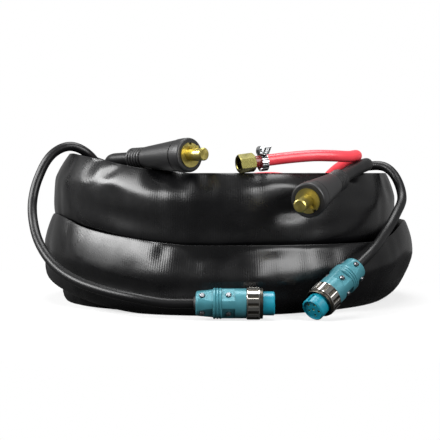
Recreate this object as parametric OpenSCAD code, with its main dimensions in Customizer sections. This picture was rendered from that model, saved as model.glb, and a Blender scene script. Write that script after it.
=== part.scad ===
// Interconnecting hose pack between a wire feeder and a welding power source,
// coiled for storage. A flat ribbed sheath holds a power cable, a control cable
// and a gas hose, and each of the three ends in its own fitting at both ends.
// Origin: middle of the footprint, on the floor. +Z is up.

/* [Sheath] */
// Height of the flat sheath, which stands on its edge
sheath_height = 72; // [66:1:80]
// Thickness of the flat sheath with the lines inside
sheath_thickness = 22; // [19:0.5:23]
// Height of the tapered edge above and below the straight flank
sheath_edge = 14; // [8:0.5:14]
// Wall of the sheath
sheath_wall = 1.5; // [0.8:0.1:2]
// Depth of the open mouth at each end of the sheath
mouth_depth = 12; // [4:1:20]
// Depth to which the floor flattens the lowest edge
floor_cut = 0.5; // [0.2:0.1:1]

/* [Coil] */
// Radius of the lower tier's outer turn, on the sheath's centreline
coil_radius = 203.5; // [200:0.5:215]
// Step in radius from one turn to the next
turn_pitch = 24; // [23.5:0.25:26]
// Gap between the two tiers
tier_gap = 1; // [0.5:0.1:3]
// How much smaller the upper tier's outer turn is
tier_inset = 15.1; // [10:0.1:18]
// How far the upper tier is slid to the left on the lower one
tier_slide = 15; // [0:0.5:15]
// How far the climbing turn lifts the upper tier at the left
rim_lift = 22; // [10:1:30]
// How far each end of the sheath leans in from its neighbour turn
end_lean = 10; // [6:1:20]
// Straight run at each end of the sheath
end_run = 24; // [22:1:40]
// How far the lower tier's bottom edge is drawn in at the right front
edge_draw_in = 22; // [0:1:24]

/* [Lines] */
// Diameter of the power cable
power_d = 14; // [11:0.5:15]
// Diameter of the control cable
control_d = 10.4; // [8:0.2:11]
// Diameter of the gas hose
hose_d = 12; // [10.5:0.5:13]
// Bore of the gas hose
hose_bore = 8.2; // [7:0.1:8.6]
// Space between neighbouring lines inside the sheath
line_gap = 3.6; // [0.5:0.1:4]

/* [Power plug] */
// Length of the rubber sleeve
sleeve_length = 92; // [84:1:104]
// Largest diameter of the sleeve, at its front cup
sleeve_d = 35; // [32:0.5:38]
// Diameter of the ribbed neck
neck_d = 22.5; // [20:0.5:25]
// Number of grip ribs on the neck
neck_ribs = 5; // [3:1:7]
// Length of the ribbed neck
neck_length = 22; // [16:1:28]
// Length of the front cup
cup_length = 14; // [10:1:24]
// Diameter of the brass flange in the mouth
flange_d = 25; // [24:0.5:27]
// Thickness of the brass flange
flange_t = 3; // [2:0.5:5]
// Height of the flange's face above the sleeve's mouth
flange_proud = 1; // [0:0.25:2]
// Diameter of the brass shank inside the sleeve
shank_d = 22; // [20:0.5:23]
// Length of the brass shank
shank_length = 40; // [34:1:48]
// Diameter of the contact pin
pin_d = 13; // [9:0.5:13.5]
// Length of the contact pin beyond the flange
pin_length = 21; // [18:1:28]
// Diameter of the copper ferrule on the conductor
ferrule_d = 12; // [9:0.5:13]
// Length of the copper ferrule
ferrule_length = 28; // [24:1:32]
// Diameter of a clamping screw
set_screw_d = 8; // [5:0.5:8]

/* [Control connector] */
// Length of the whole connector
connector_length = 78; // [76:0.5:86]
// Diameter of the backshell at its front
backshell_d = 27.6; // [26:0.2:29]
// Length of the backshell
backshell_length = 17; // [16:0.5:22]
// Distance between opposite flats of the backshell
backshell_flats = 24; // [22:0.5:25]
// Diameter of the locking ring
lock_ring_d = 30.6; // [28:0.2:32]
// Length of the locking ring
lock_ring_length = 9; // [7:0.5:12]
// Diameter of the front shell
front_shell_d = 29.6; // [28.6:0.2:31]
// Length of the front shell's flats
front_flats_length = 13; // [10:0.5:15]
// Length of the front shell's round stretch
front_round_length = 11; // [8:0.5:14]
// Distance between opposite flats of the front shell
front_flats = 25.6; // [24:0.2:27]
// Diameter of the coupling ring
ring_d = 32; // [31.5:0.5:36]
// Length of the coupling ring
ring_length = 16.2; // [14:0.2:18]
// Number of flutes on the coupling ring
ring_flutes = 12; // [8:1:16]
// Diameter of the neck on which the coupling ring turns
bearing_d = 25.8; // [25.2:0.2:26.4]
// Length of that neck
bearing_length = 8; // [6:0.5:10]
// Diameter of the insert's nose
nose_d = 23.7; // [22:0.1:24.4]
// Diameter of one contact
contact_d = 2.8; // [1.6:0.2:3.4]
// Number of contacts around the middle one
contact_ring = 5; // [4:1:7]

/* [Gas fitting] */
// Width of the union nut across its flats
nut_flats = 17; // [16:0.5:22]
// Length of the union nut
nut_length = 17; // [15.5:0.5:20]
// Bore of the union nut, inside its thread
nut_bore = 11.44; // [11.3:0.02:12.4]
// Diameter of the hose tail's neck inside the nut
tail_neck_d = 8.4; // [7:0.1:9]
// Gas passage through the hose tail
tail_bore = 4.4; // [3:0.1:5]
// Length of the barbed stem inside the hose
stem_length = 24; // [18:1:30]
// Bore of the clamp band
band_bore = 16; // [14:0.5:18]
// Width of the clamp band
band_width = 7; // [5:0.5:9]
// Thickness of the clamp band
band_t = 0.7; // [0.5:0.1:1]
// Length of the band's free tail
band_tail = 11; // [8:1:16]
// Diameter of the clamp screw's worm
worm_d = 5.3; // [4:0.1:6]

/* [Fits] */
// Radial clearance of pieces that turn on each other
running_fit = 0.08; // [0.05:0.01:0.1]
// Radial clearance of pieces that are slipped together
slip_fit = 0.1; // [0.05:0.01:0.2]
// Gap that keeps neighbouring faces apart
face_gap = 0.2; // [0.1:0.05:0.3]

/* [Hidden] */
$fn = 48;

// ---- vectors and sweeps ----

function unit(v) = v / norm(v);

// Eased step from 0 at a to 1 at b
function ease(a, b, t) = let (s = min(1, max(0, (t - a) / (b - a)))) s * s * (3 - 2 * s);

function blend(a, b, share) = a + (b - a) * share;

// Direction of a route at point i, halfway between its two legs
function heading(route, i) =
    let (last = len(route) - 1, ahead = min(i, last - 1), behind = max(i - 1, 0))
    unit(unit(route[ahead + 1] - route[ahead]) + unit(route[behind + 1] - route[behind]));

// Sideways vectors along a route, each carried on from the one before
function sideways(route) = [
    for (i = 0, side = cross(heading(route, 0), [0, 0, 1]);
         i < len(route);
         i = i + 1,
         side = i < len(route)
             ? side - (side * heading(route, i)) * heading(route, i)
             : side)
    unit(side)
];

// Rings of a round line along a route
function line_rings(route, d, sides) =
    let (side = sideways(route))
    [for (i = [0:len(route) - 1])
        let (up = cross(side[i], heading(route, i)))
        [for (k = [0:sides - 1])
            let (turn = -360 * k / sides)
            route[i] + d / 2 * (cos(turn) * side[i] + sin(turn) * up)]];

// One closed skin over a list of rings with equal counts of points
module skin(rings) {
    sides = len(rings[0]);
    last = len(rings) - 1;
    polyhedron(
        points = [for (ring = rings) each ring],
        faces = concat(
            [for (k = [1:sides - 2]) [0, k, k + 1]],
            [for (k = [1:sides - 2]) [last * sides, last * sides + k + 1, last * sides + k]],
            [for (i = [0:last - 1], k = [0:sides - 1], half = [0, 1])
                let (a = i * sides + k, b = i * sides + (k + 1) % sides)
                half == 0 ? [a, a + sides, b + sides] : [a, b + sides, b]]));
}

// ---- the coiled sheath ----
// The path is counted in turns from the front of the lower tier: 0.25 is left,
// 0.5 the back and 0.75 the right. It winds outward on the floor, climbs on the
// left and back, and winds inward on the upper tier.

rings_per_turn = 24;
first_ring = 10;
last_ring = 111;
tier_step = sheath_height + tier_gap;
rim_z = 2 * sheath_height + tier_gap;
upper_radius = coil_radius - tier_inset;
coil_mid = [5.11, 28.71, 0];
lower_mid_x = 5;
climb_start = 2.06;
climb_pause = 2.22;
climb_rise = 2.3;
climb_top = 2.56;
inset_end = 2.75;
lift_turns = [3.04, 3.19, 3.31, 3.42];
lean_turns = 0.17;

// Height of the sheath's lowest edge at a count of turns
function climb_z(turns) =
    let (rise = ease(climb_rise, climb_top, turns),
         crest = ease(lift_turns[0], lift_turns[1], turns) - ease(lift_turns[2], lift_turns[3], turns))
    turns < inset_end
        ? blend((rim_lift - tier_gap) * ease(climb_start, climb_pause, turns), tier_step, rise)
        : tier_step + rim_lift * crest;

// Radius of the sheath's centreline at a count of turns
function coil_r(turns) =
    let (first = first_ring / rings_per_turn,
         final = last_ring / rings_per_turn,
         lean = end_lean * (1 - ease(first, first + lean_turns, turns)
                            + ease(final - lean_turns, final, turns)),
         lower = coil_radius + turn_pitch * (turns - 2),
         upper = upper_radius - turn_pitch * (turns - 3))
    blend(lower, upper, ease(climb_top, inset_end, turns)) - lean;

// Outward direction, and middle of the turn, at a count of turns
function outward(turns) = [sin(-360 * turns), -cos(-360 * turns), 0];
function turn_mid(turns) =
    coil_mid + [lower_mid_x - tier_slide * climb_z(turns) / tier_step, 0, 0];
function coil_point(turns) =
    turn_mid(turns) + coil_r(turns) * outward(turns) + [0, 0, climb_z(turns)];

// Section of the flat sheath: sideways from its centreline, and up from its edge
half_t = sheath_thickness / 2;
sheath_section = [
    [0, 0], [half_t, sheath_edge], [half_t, sheath_height - sheath_edge],
    [0, sheath_height], [-half_t, sheath_height - sheath_edge], [-half_t, sheath_edge]];

// The lower tier leans: its bottom edge is drawn in, most towards the right front
draw_way = [0.9, -0.43, 0];
lean_curve = 1.5;
function draw_in(turns) =
    turns < climb_start ? edge_draw_in * pow(max(0, outward(turns) * draw_way), 2) : 0;

function sheath_ring(point, side, lean = 0) =
    [for (p = sheath_section)
        let (low = pow(1 - p.y / sheath_height, lean_curve))
        point + (p.x - lean * low) * side + [0, 0, p.y - floor_cut]];

// Both ends run on straight, past the first and last ring of the coil
function end_heading(ring, step) =
    let (way = coil_point(ring / rings_per_turn) - coil_point((ring - step) / rings_per_turn))
    unit([way.x, way.y, 0]);
left_out = end_heading(first_ring, -1);
right_out = end_heading(last_ring, 1);
left_end = coil_point(first_ring / rings_per_turn) + end_run * left_out;
right_end = coil_point(last_ring / rings_per_turn) + end_run * right_out;
left_side = cross(left_out, [0, 0, 1]);
right_side = -cross(right_out, [0, 0, 1]);

coil_rings = [for (i = [first_ring:last_ring])
    let (turns = i / rings_per_turn)
    sheath_ring(coil_point(turns), outward(turns), draw_in(turns))];

// Least gap from one turn's section to the next that lies at the same angle,
// measured on the sections' points along each side's square direction
function flat(points, turns) =
    [for (p = points) [(p - coil_mid) * outward(turns), p.z]];
function gap_along(a, b, way) = min([for (p = b) p * way]) - max([for (p = a) p * way]);
section_ways = [for (i = [0:5])
    let (edge = sheath_section[(i + 1) % 6] - sheath_section[i]) unit([edge.y, -edge.x])];
function section_gap(a, b) = max([for (way = section_ways) gap_along(a, b, way)]);
turn_gaps = [for (i = [0:len(coil_rings) - 1], loops = [1:4])
    let (j = i + loops * rings_per_turn, turns = (i + first_ring) / rings_per_turn)
    if (j < len(coil_rings)) section_gap(flat(coil_rings[i], turns), flat(coil_rings[j], turns))];
echo(least_gap_of_the_coil_to_itself = min(turn_gaps));

floor_reach = coil_radius + sheath_thickness;
floor_depth = 5;

module sheath_mouth(end, out) {
    translate(end - [0, 0, floor_cut])
        rotate([90, 0, atan2(out.y, out.x) + 90])
            translate([0, 0, -mouth_depth])
                linear_extrude(mouth_depth + 1)
                    offset(delta = -sheath_wall) polygon(sheath_section);
}

module sheath() {
    color([0.11, 0.11, 0.12]) difference() {
        skin(concat([sheath_ring(left_end, left_side)], coil_rings,
                    [sheath_ring(right_end, right_side)]));
        sheath_mouth(left_end, left_out);
        sheath_mouth(right_end, right_out);
        translate(coil_mid - [floor_reach, floor_reach, floor_depth])
            cube([2 * floor_reach, 2 * floor_reach, floor_depth]);
    }
}

// ---- places of the fittings ----
// Each place is a point, the forward direction and the roll about it. Fittings
// are modelled with the cable's entry at their origin and forward along +Z.

// Point at an angle round the coil and a reach beyond its radius
function beside(angle, reach, z) =
    coil_mid + [(coil_radius + reach) * cos(angle), (coil_radius + reach) * sin(angle), z];

plug_left = [beside(-126, -32.5, rim_z + 15.4), unit([0.68, -0.73, 0.03]), 180];
plug_right = [beside(-57.5, 10.3, rim_z - 7), unit([-0.41, -0.887, -0.215]), 35];

ring_floor_gap = 0.1;
connector_left =
    [coil_mid + [-31.4, -coil_radius - 30.5, ring_d / 2 + ring_floor_gap], [1, 0, 0], 180];
right_way = unit([-0.609, -0.622, -0.491]);
nose_floor_z = nose_d / 2 * norm([right_way.x, right_way.y]) + ring_floor_gap;
right_face = beside(-71.3, 55.2, nose_floor_z);
connector_right = [right_face - connector_length * right_way, right_way, 180];

gas_left = [beside(-50, -78, rim_z - 18), unit([0.166, 0.94, -0.3]), 135];
gas_right = [beside(-81.4, -19.8, rim_z + 11.3), unit([-0.915, -0.37, -0.12]), 180];

function ahead(place, length) = place[0] + length * place[1];

module at(place) {
    way = place[1];
    translate(place[0])
        rotate([0, acos(way.z), atan2(way.y, way.x)])
            rotate(place[2]) children();
}

// ---- the lines ----
// Each line starts on the floor of the sheath's mouth, one above the other, and
// runs through hand-set points, given from the coil's middle, to its fitting.

control_seat = sheath_edge + control_d / 2 + 0.8;
power_seat = control_seat + control_d / 2 + line_gap + power_d / 2;
hose_seat = power_seat + power_d / 2 + line_gap + hose_d / 2;
straight_out = 2 * power_d;

control_route_left = [
    [-128, 95, 28], [-143, 68, 46], [-148.5, 40, 68], [-149, 14, 92], [-147, -12, 115],
    [-146, -37, 146], [-158, -54, 166.5], [-178, -61, 175], [-198, -66, 165],
    [-212, -72, 139], [-217, -82, 112], [-212, -102, 86], [-200, -129, 65],
    [-181, -158, 47], [-157, -187, 35], [-127, -212, 27], [-93, -228, 21]];
power_route_left = [
    [-128, 62, 50], [-134, 30, 64], [-136, -2, 86], [-134, -32, 110],
    [-132, -62, 136], [-130, -89, 153.5]];
gas_route_left = [
    [-117, 72, 59], [-114, 40, 66], [-113, 8, 74], [-109, -26, 82], [-99, -60, 92],
    [-79, -92, 104], [-50, -118, 117], [-18, -133, 129], [13, -140, 137], [41, -139, 140],
    [63, -131, 138.5]];
control_route_right = [
    [129, 50, 96], [139, 26, 103], [143, 2, 117], [141, -20, 132.5], [148, -38, 148],
    [162, -52, 153], [178, -60, 151.5], [189, -70, 139], [193, -87, 118],
    [184, -111, 102], [170, -137, 84]];
power_route_right = [
    [128, 46, 111], [129, 16, 117], [128, -12, 125], [130, -37, 138], [141, -58, 150.5],
    [151, -82, 154], [151, -107, 154], [140.5, -129, 150.4]];
gas_route_right = [
    [121, 48, 127], [119, 20, 129], [116, -8, 132], [115, -34, 139], [123, -58, 149],
    [134, -80, 157.5], [139, -103, 162], [138, -124, 163.8], [128, -141, 162.5],
    [110, -154, 163], [88, -162, 163]];

// A whole line's route: straight out of the mouth, through the points and
// straight into its fitting, where it ends some way inside
function full_route(end, out, seat, points, place, run_in, depth) =
    let (start = end - mouth_depth * out + [0, 0, seat - floor_cut])
    concat([start, start + straight_out * out],
           [for (p = points) coil_mid + p],
           [ahead(place, -run_in), ahead(place, depth)]);

cable_depth = sleeve_length - flange_t + flange_proud - shank_length;
entry_depth = 14;
control_run_in = 22;
power_run_in = 28;
gas_run_in = stem_length + 2;

control_line_left = full_route(left_end, left_out, control_seat, control_route_left,
                               connector_left, control_run_in, entry_depth);
control_line_right = full_route(right_end, right_out, control_seat, control_route_right,
                                connector_right, control_run_in, entry_depth);
power_line_left = full_route(left_end, left_out, power_seat, power_route_left,
                             plug_left, power_run_in, cable_depth);
power_line_right = full_route(right_end, right_out, power_seat, power_route_right,
                              plug_right, power_run_in, cable_depth);
gas_line_left = full_route(left_end, left_out, hose_seat, gas_route_left,
                           gas_left, gas_run_in, 0);
gas_line_right = full_route(right_end, right_out, hose_seat, gas_route_right,
                            gas_right, gas_run_in, 0);
line_sides = 10;

module cable(route, d, shade) {
    color(shade) skin(line_rings(route, d, line_sides));
}

module gas_hose(route, place) {
    color([0.75, 0.16, 0.2]) difference() {
        skin(line_rings(route, hose_d, line_sides));
        at(place) translate([0, 0, -stem_length - face_gap])
            cylinder(d = hose_bore, h = stem_length + 1);
    }
}

module power_cable_left() cable(power_line_left, power_d, [0.13, 0.13, 0.14]);
module power_cable_right() cable(power_line_right, power_d, [0.13, 0.13, 0.14]);
module control_cable_left() cable(control_line_left, control_d, [0.16, 0.16, 0.17]);
module control_cable_right() cable(control_line_right, control_d, [0.16, 0.16, 0.17]);
module gas_hose_left() gas_hose(gas_line_left, gas_left);
module gas_hose_right() gas_hose(gas_line_right, gas_right);

// ---- power plug ----

flange_back = sleeve_length + flange_proud - flange_t;
shank_back = flange_back - shank_length;
rib_pitch = neck_length / neck_ribs;
cup_back = sleeve_length - cup_length;
groove_w = 2;
groove_depth = 1;
rib_relief = 1.6;
cup_edge = 2;
rib_shape = [0.05, 0.25, 0.65, 0.85];
rib_step = 0.4;
neck_end = 1;
cone_start = 2.5;
groove_slope = 0.4;
pin_relief = 0.8;
pin_edge = 1;
ferrule_edge = 1.5;
hex_depth = 2.5;
lug_gap = 3.5;
lug_length = 6;
lug_w = 5;
lug_reach = 2.6;
keyway_w = 3.4;
keyway_depth = 2.2;
screw_rows = [0.28, 0.62];

// Outline of the sleeve from its rear edge to its mouth: radius, then height
function sleeve_outline() = concat(
    [for (i = [0:neck_ribs - 1], corner = [0:3])
        let (low = i * rib_pitch)
        [neck_d / 2 - (corner == 0 || corner == 3 ? rib_relief : 0),
         low + rib_pitch * rib_shape[corner]]],
    [[neck_d / 2 - rib_relief, neck_length + neck_end],
     [neck_d / 2 + rib_step, neck_length + cone_start],
     [sleeve_d / 2 - groove_depth, cup_back - groove_w],
     [sleeve_d / 2 - 2 * groove_depth, cup_back - groove_w + groove_slope],
     [sleeve_d / 2 - 2 * groove_depth, cup_back - groove_slope],
     [sleeve_d / 2 - groove_depth / 2, cup_back],
     [sleeve_d / 2, cup_back + cup_length / 2],
     [sleeve_d / 2, sleeve_length - cup_edge]],
    [for (turn = [30, 60, 90])
        [sleeve_d / 2 - cup_edge + cup_edge * cos(turn),
         sleeve_length - cup_edge + cup_edge * sin(turn)]]);

module plug_sleeve() {
    color([0.17, 0.17, 0.18]) difference() {
        rotate_extrude() polygon(concat([[0, 0], [neck_d / 2 - rib_relief, 0]],
                                        sleeve_outline(), [[0, sleeve_length]]));
        translate([0, 0, -1]) cylinder(d = power_d + 2 * slip_fit, h = shank_back + 2);
        translate([0, 0, shank_back])
            cylinder(d = shank_d + 2 * slip_fit, h = sleeve_length);
        translate([0, 0, flange_back])
            cylinder(d = flange_d + 2 * slip_fit, h = sleeve_length);
    }
}

module screw_seats(d) {
    for (share = screw_rows)
        translate([0, 0, shank_back + share * ferrule_length])
            rotate([0, 90, 0]) cylinder(d = d, h = shank_d);
}

module plug_contact() {
    color([0.72, 0.58, 0.28]) difference() {
        union() {
            translate([0, 0, shank_back]) cylinder(d = shank_d, h = shank_length);
            translate([0, 0, flange_back]) cylinder(d = flange_d, h = flange_t);
            translate([0, 0, flange_back + flange_t]) {
                cylinder(d = pin_d - pin_relief, h = pin_length - pin_edge);
                translate([0, 0, lug_gap + lug_length])
                    cylinder(d = pin_d, h = pin_length - pin_edge - lug_gap - lug_length);
                translate([0, 0, pin_length - pin_edge])
                    cylinder(d1 = pin_d, d2 = pin_d - 2 * pin_edge, h = pin_edge);
                translate([0, -lug_w / 2, lug_gap])
                    cube([pin_d / 2 + lug_reach, lug_w, lug_length]);
            }
        }
        translate([0, 0, shank_back - 1])
            cylinder(d = ferrule_d + 2 * slip_fit, h = ferrule_length + 1 + face_gap);
        screw_seats(set_screw_d + 2 * slip_fit);
        translate([flange_d / 2 - keyway_depth, -keyway_w / 2, flange_back - 1])
            cube([keyway_depth + 1, keyway_w, flange_t + 2]);
    }
}

module conductor_ferrule() {
    color([0.72, 0.45, 0.3]) translate([0, 0, shank_back]) {
        cylinder(d = ferrule_d, h = ferrule_length - ferrule_edge);
        translate([0, 0, ferrule_length - ferrule_edge])
            cylinder(d1 = ferrule_d, d2 = ferrule_d - 2, h = ferrule_edge);
    }
}

// Two socket screws in the shank's wall, which clamp the ferrule
module plug_screws() {
    screw_length = sqrt(pow(shank_d, 2) - pow(set_screw_d, 2)) / 2 - ferrule_d / 2 - 2 * face_gap;
    color([0.35, 0.35, 0.37])
        for (share = screw_rows)
            translate([ferrule_d / 2 + face_gap, 0, shank_back + share * ferrule_length])
                rotate([0, 90, 0]) difference() {
                    cylinder(d = set_screw_d, h = screw_length);
                    translate([0, 0, screw_length - hex_depth])
                        cylinder(d = set_screw_d / 2, h = hex_depth + 1, $fn = 6);
                }
}

module plug_sleeve_left() at(plug_left) plug_sleeve();
module plug_sleeve_right() at(plug_right) plug_sleeve();
module plug_contact_left() at(plug_left) plug_contact();
module plug_contact_right() at(plug_right) plug_contact();
module conductor_ferrule_left() at(plug_left) conductor_ferrule();
module conductor_ferrule_right() at(plug_right) conductor_ferrule();
module plug_screws_left() at(plug_left) plug_screws();
module plug_screws_right() at(plug_right) plug_screws();

// ---- control connector ----

shell_front = backshell_length + lock_ring_length;
round_back = shell_front + front_flats_length;
neck_back = round_back + front_round_length;
neck_front = neck_back + bearing_length;
insert_flange_t = 1.6;
insert_flange_d = bearing_d + 2.2;
ring_cavity_d = insert_flange_d + 0.6;
insert_root_d = nose_d - 1.7;
insert_depth = 14;
spigot_d = lock_ring_d - 7.8;
grommet_d = 16;
grommet_length = 9;
grommet_collar = 2;
grommet_relief = 1;
rear_edge = 2.5;
rear_draft = 1.4;
ridge_count = 3;
ridge_depth = 0.9;
ridge_shape = [0, 0.25, 0.75, 1];
flute_d = 8;
flute_depth = 0.9;
shell_screw_d = 3;
shell_screw_head = 5;
screw_recess = 6.2;
recess_depth = 0.8;
head_rise = 2.2;
head_edge = 0.8;
slot_w = 0.8;
slot_depth = 1;
shank_bite = 1.6;
face_recess = 1.8;
insert_rim = 1.6;
pin_drop = 0.6;
screw_z_rear = 6.5;
screw_z_front = shell_front + front_flats_length / 2;
contact_circle_r = 6.6;
socket_depth = 10;
key_w = 3;
key_depth = 1.4;
key_length = 10;
ring_lip = 3.2;
ring_edge = 0.8;
lip_relief = 0.9;
lip_slope = 0.6;
lip_edge = 0.5;
flute_margin = 1.2;
contact_turn = 36;
contact_sides = 16;
nose_relief = 0.8;
nose_edge = 1;
nose_step = neck_back + face_gap + ring_length + 0.2;

module backshell() {
    color([0.12, 0.5, 0.54]) difference() {
        intersection() {
            rotate_extrude() polygon(concat(
                [[0, 0]],
                [for (turn = [-90:30:0])
                    [backshell_d / 2 - rear_draft - rear_edge + rear_edge * cos(turn),
                     rear_edge + rear_edge * sin(turn)]],
                [[backshell_d / 2, backshell_length], [0, backshell_length]]));
            rotate(45) translate([-backshell_flats / 2, -backshell_flats / 2, -1])
                cube([backshell_flats, backshell_flats, backshell_length + 2]);
        }
        translate([0, 0, -1]) cylinder(d = grommet_d + 2 * slip_fit, h = grommet_length + 1);
        translate([0, 0, -1]) cylinder(d = control_d + 2 * slip_fit, h = entry_depth + 1);
        shell_screw_holes(screw_z_rear, backshell_flats / 2);
    }
}

// Recess and hole for one screw on each of the four flats
module shell_screw_holes(z, reach) {
    for (turn = [45:90:315])
        rotate(turn) translate([reach, 0, z]) rotate([0, -90, 0]) {
            translate([0, 0, -1]) cylinder(d = screw_recess, h = recess_depth + 1);
            cylinder(d = shell_screw_d + 2 * slip_fit, h = recess_depth + shank_bite + face_gap);
        }
}

module shell_screw_set(z, reach) {
    head_top = recess_depth + head_rise;
    for (turn = [45:90:315])
        rotate(turn) translate([reach - recess_depth, 0, z]) rotate([0, 90, 0])
            difference() {
                union() {
                    cylinder(d = shell_screw_head, h = head_top - head_edge);
                    translate([0, 0, head_top - head_edge])
                        cylinder(d1 = shell_screw_head, d2 = shell_screw_head - 2 * head_edge,
                                 h = head_edge);
                    translate([0, 0, -shank_bite])
                        cylinder(d = shell_screw_d, h = shank_bite + head_edge);
                }
                translate([-slot_w / 2, -shell_screw_head, head_top - slot_depth])
                    cube([slot_w, 2 * shell_screw_head, slot_depth + 1]);
            }
}

module shell_screws() {
    color([0.78, 0.79, 0.8]) {
        shell_screw_set(screw_z_rear, backshell_flats / 2);
        shell_screw_set(screw_z_front, front_flats / 2);
    }
}

module cable_grommet() {
    color([0.1, 0.1, 0.1]) difference() {
        union() {
            translate([0, 0, face_gap]) cylinder(d = grommet_d, h = grommet_length - 2 * face_gap);
            translate([0, 0, -grommet_collar])
                cylinder(d1 = grommet_d - 3 * grommet_relief, d2 = grommet_d - grommet_relief,
                         h = grommet_collar + 2 * face_gap);
        }
        translate([0, 0, -grommet_collar - 1])
            cylinder(d = control_d + 2 * slip_fit, h = grommet_length + grommet_collar + 2);
    }
}

// Knurled ring of three ribs, screwed over the front shell's rear spigot
module lock_ring() {
    ridge_w = lock_ring_length / ridge_count;
    color([0.1, 0.44, 0.48]) difference() {
        rotate_extrude() polygon(concat(
            [[0, backshell_length]],
            [for (i = [0:ridge_count - 1], corner = [0:3])
                [lock_ring_d / 2 - (corner == 0 || corner == 3 ? ridge_depth : 0),
                 backshell_length + ridge_w * (i + ridge_shape[corner])]],
            [[0, shell_front]]));
        translate([0, 0, backshell_length - 1])
            cylinder(d = spigot_d + 2 * slip_fit, h = lock_ring_length + 2);
    }
}

module front_shell() {
    color([0.12, 0.5, 0.54]) difference() {
        union() {
            translate([0, 0, backshell_length])
                cylinder(d = spigot_d, h = lock_ring_length);
            intersection() {
                translate([0, 0, shell_front]) cylinder(d = front_shell_d, h = front_flats_length);
                rotate(45) translate([-front_flats / 2, -front_flats / 2, shell_front - 1])
                    cube([front_flats, front_flats, front_flats_length + 2]);
            }
            translate([0, 0, round_back])
                cylinder(d = front_shell_d, h = front_round_length);
            translate([0, 0, neck_back]) cylinder(d = bearing_d, h = bearing_length);
        }
        translate([0, 0, neck_front - insert_depth])
            cylinder(d = insert_root_d + 2 * slip_fit, h = insert_depth + 1);
        shell_screw_holes(screw_z_front, front_flats / 2);
    }
}

// Turns on the front shell's neck, held between its shoulder and the insert's flange
module coupling_ring() {
    low = neck_back + face_gap;
    high = low + ring_length;
    color([0.42, 0.4, 0.36]) difference() {
        rotate_extrude() polygon([
            [0, low], [ring_d / 2 - ring_edge, low], [ring_d / 2, low + ring_edge],
            [ring_d / 2, high - ring_lip], [ring_d / 2 - lip_relief, high - ring_lip + lip_slope],
            [ring_d / 2 - lip_relief, high - lip_edge],
            [ring_d / 2 - lip_relief - lip_edge, high], [0, high]]);
        translate([0, 0, low - 1]) cylinder(d = bearing_d + 2 * running_fit, h = ring_length + 2);
        translate([0, 0, neck_front - face_gap])
            cylinder(d = ring_cavity_d, h = ring_length);
        for (i = [0:ring_flutes - 1])
            rotate(360 * i / ring_flutes)
                translate([ring_d / 2 + flute_d / 2 - flute_depth, 0, low + flute_margin])
                    cylinder(d = flute_d, h = ring_length - ring_lip - 2 * flute_margin);
    }
}

module contact_places(d, low, high) {
    translate([0, 0, low]) cylinder(d = d, h = high - low, $fn = contact_sides);
    for (i = [0:contact_ring - 1])
        rotate(360 * i / contact_ring + contact_turn)
            translate([contact_circle_r, 0, low])
                cylinder(d = d, h = high - low, $fn = contact_sides);
}

module contact_insert() {
    color([0.05, 0.42, 0.48]) difference() {
        union() {
            translate([0, 0, neck_front - insert_depth + face_gap])
                cylinder(d = insert_root_d, h = insert_depth);
            translate([0, 0, neck_front]) cylinder(d = insert_flange_d, h = insert_flange_t);
            translate([0, 0, neck_front])
                cylinder(d = nose_d - nose_relief, h = nose_step - neck_front);
            translate([0, 0, nose_step])
                cylinder(d = nose_d, h = connector_length - nose_step - nose_edge);
            translate([0, 0, connector_length - nose_edge])
                cylinder(d1 = nose_d, d2 = nose_d - 2 * nose_edge, h = nose_edge);
        }
        contact_places(contact_d + 2 * slip_fit, neck_front - insert_depth, connector_length + 1);
        translate([0, 0, connector_length - face_recess])
            cylinder(d = nose_d - 2 * insert_rim, h = face_recess + 1);
        translate([nose_d / 2 - key_depth, -key_w / 2, connector_length - key_length])
            cube([key_depth + 1, key_w, key_length + 1]);
    }
}

// Socket contacts, set a little below the insert's face
module contact_pins() {
    color([0.8, 0.66, 0.35]) difference() {
        contact_places(contact_d, neck_front - insert_depth + face_gap,
                       connector_length - face_recess - pin_drop);
        contact_places(contact_d / 2, connector_length - socket_depth, connector_length);
    }
}

module backshell_left() at(connector_left) backshell();
module backshell_right() at(connector_right) backshell();
module cable_grommet_left() at(connector_left) cable_grommet();
module cable_grommet_right() at(connector_right) cable_grommet();
module lock_ring_left() at(connector_left) lock_ring();
module lock_ring_right() at(connector_right) lock_ring();
module front_shell_left() at(connector_left) front_shell();
module front_shell_right() at(connector_right) front_shell();
module coupling_ring_left() at(connector_left) coupling_ring();
module coupling_ring_right() at(connector_right) coupling_ring();
module contact_insert_left() at(connector_left) contact_insert();
module contact_insert_right() at(connector_right) contact_insert();
module contact_pins_left() at(connector_left) contact_pins();
module contact_pins_right() at(connector_right) contact_pins();
module shell_screws_left() at(connector_left) shell_screws();
module shell_screws_right() at(connector_right) shell_screws();

// ---- gas fitting ----
// The hose ends at the fitting's origin. The stem reaches back into the hose.

nut_back = 0.8;
nut_floor = 5;
head_back = nut_back + nut_floor + face_gap;
head_t = 1.4;
head_d = nut_bore - 2 * face_gap;
nose_length = 2.4;
nose_draft = 2.2;
thread_relief = 0.8;
thread_edge = 0.8;
nut_edge = 1.2;
nut_crown = 0.3;
nut_front = nut_back + nut_length;
barb_count = 4;
barb_depth = 0.7;
barb_slope = 0.3;
stem_draft = 1.1;
plain_stem = 4;
band_back = -13;
band_run = 10;
band_turn_up = 40;
slot_pitch = 1.8;
slot_length = 3.6;
band_drop = band_bore / 2 - hose_d / 2 - face_gap;
band_top = band_bore / 2 + band_t - band_drop;
housing_wall = 1.1;
barrel_d = worm_d + 2 * running_fit + 2 * housing_wall;
worm_x = band_top + band_t + face_gap + barrel_d / 2;
housing_length = 10;
housing_cheek = 0.6;
worm_head = 7;
worm_head_t = 3.6;
worm_end = 1.5;
worm_slot_w = 1;
worm_slot_depth = 1;

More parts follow.
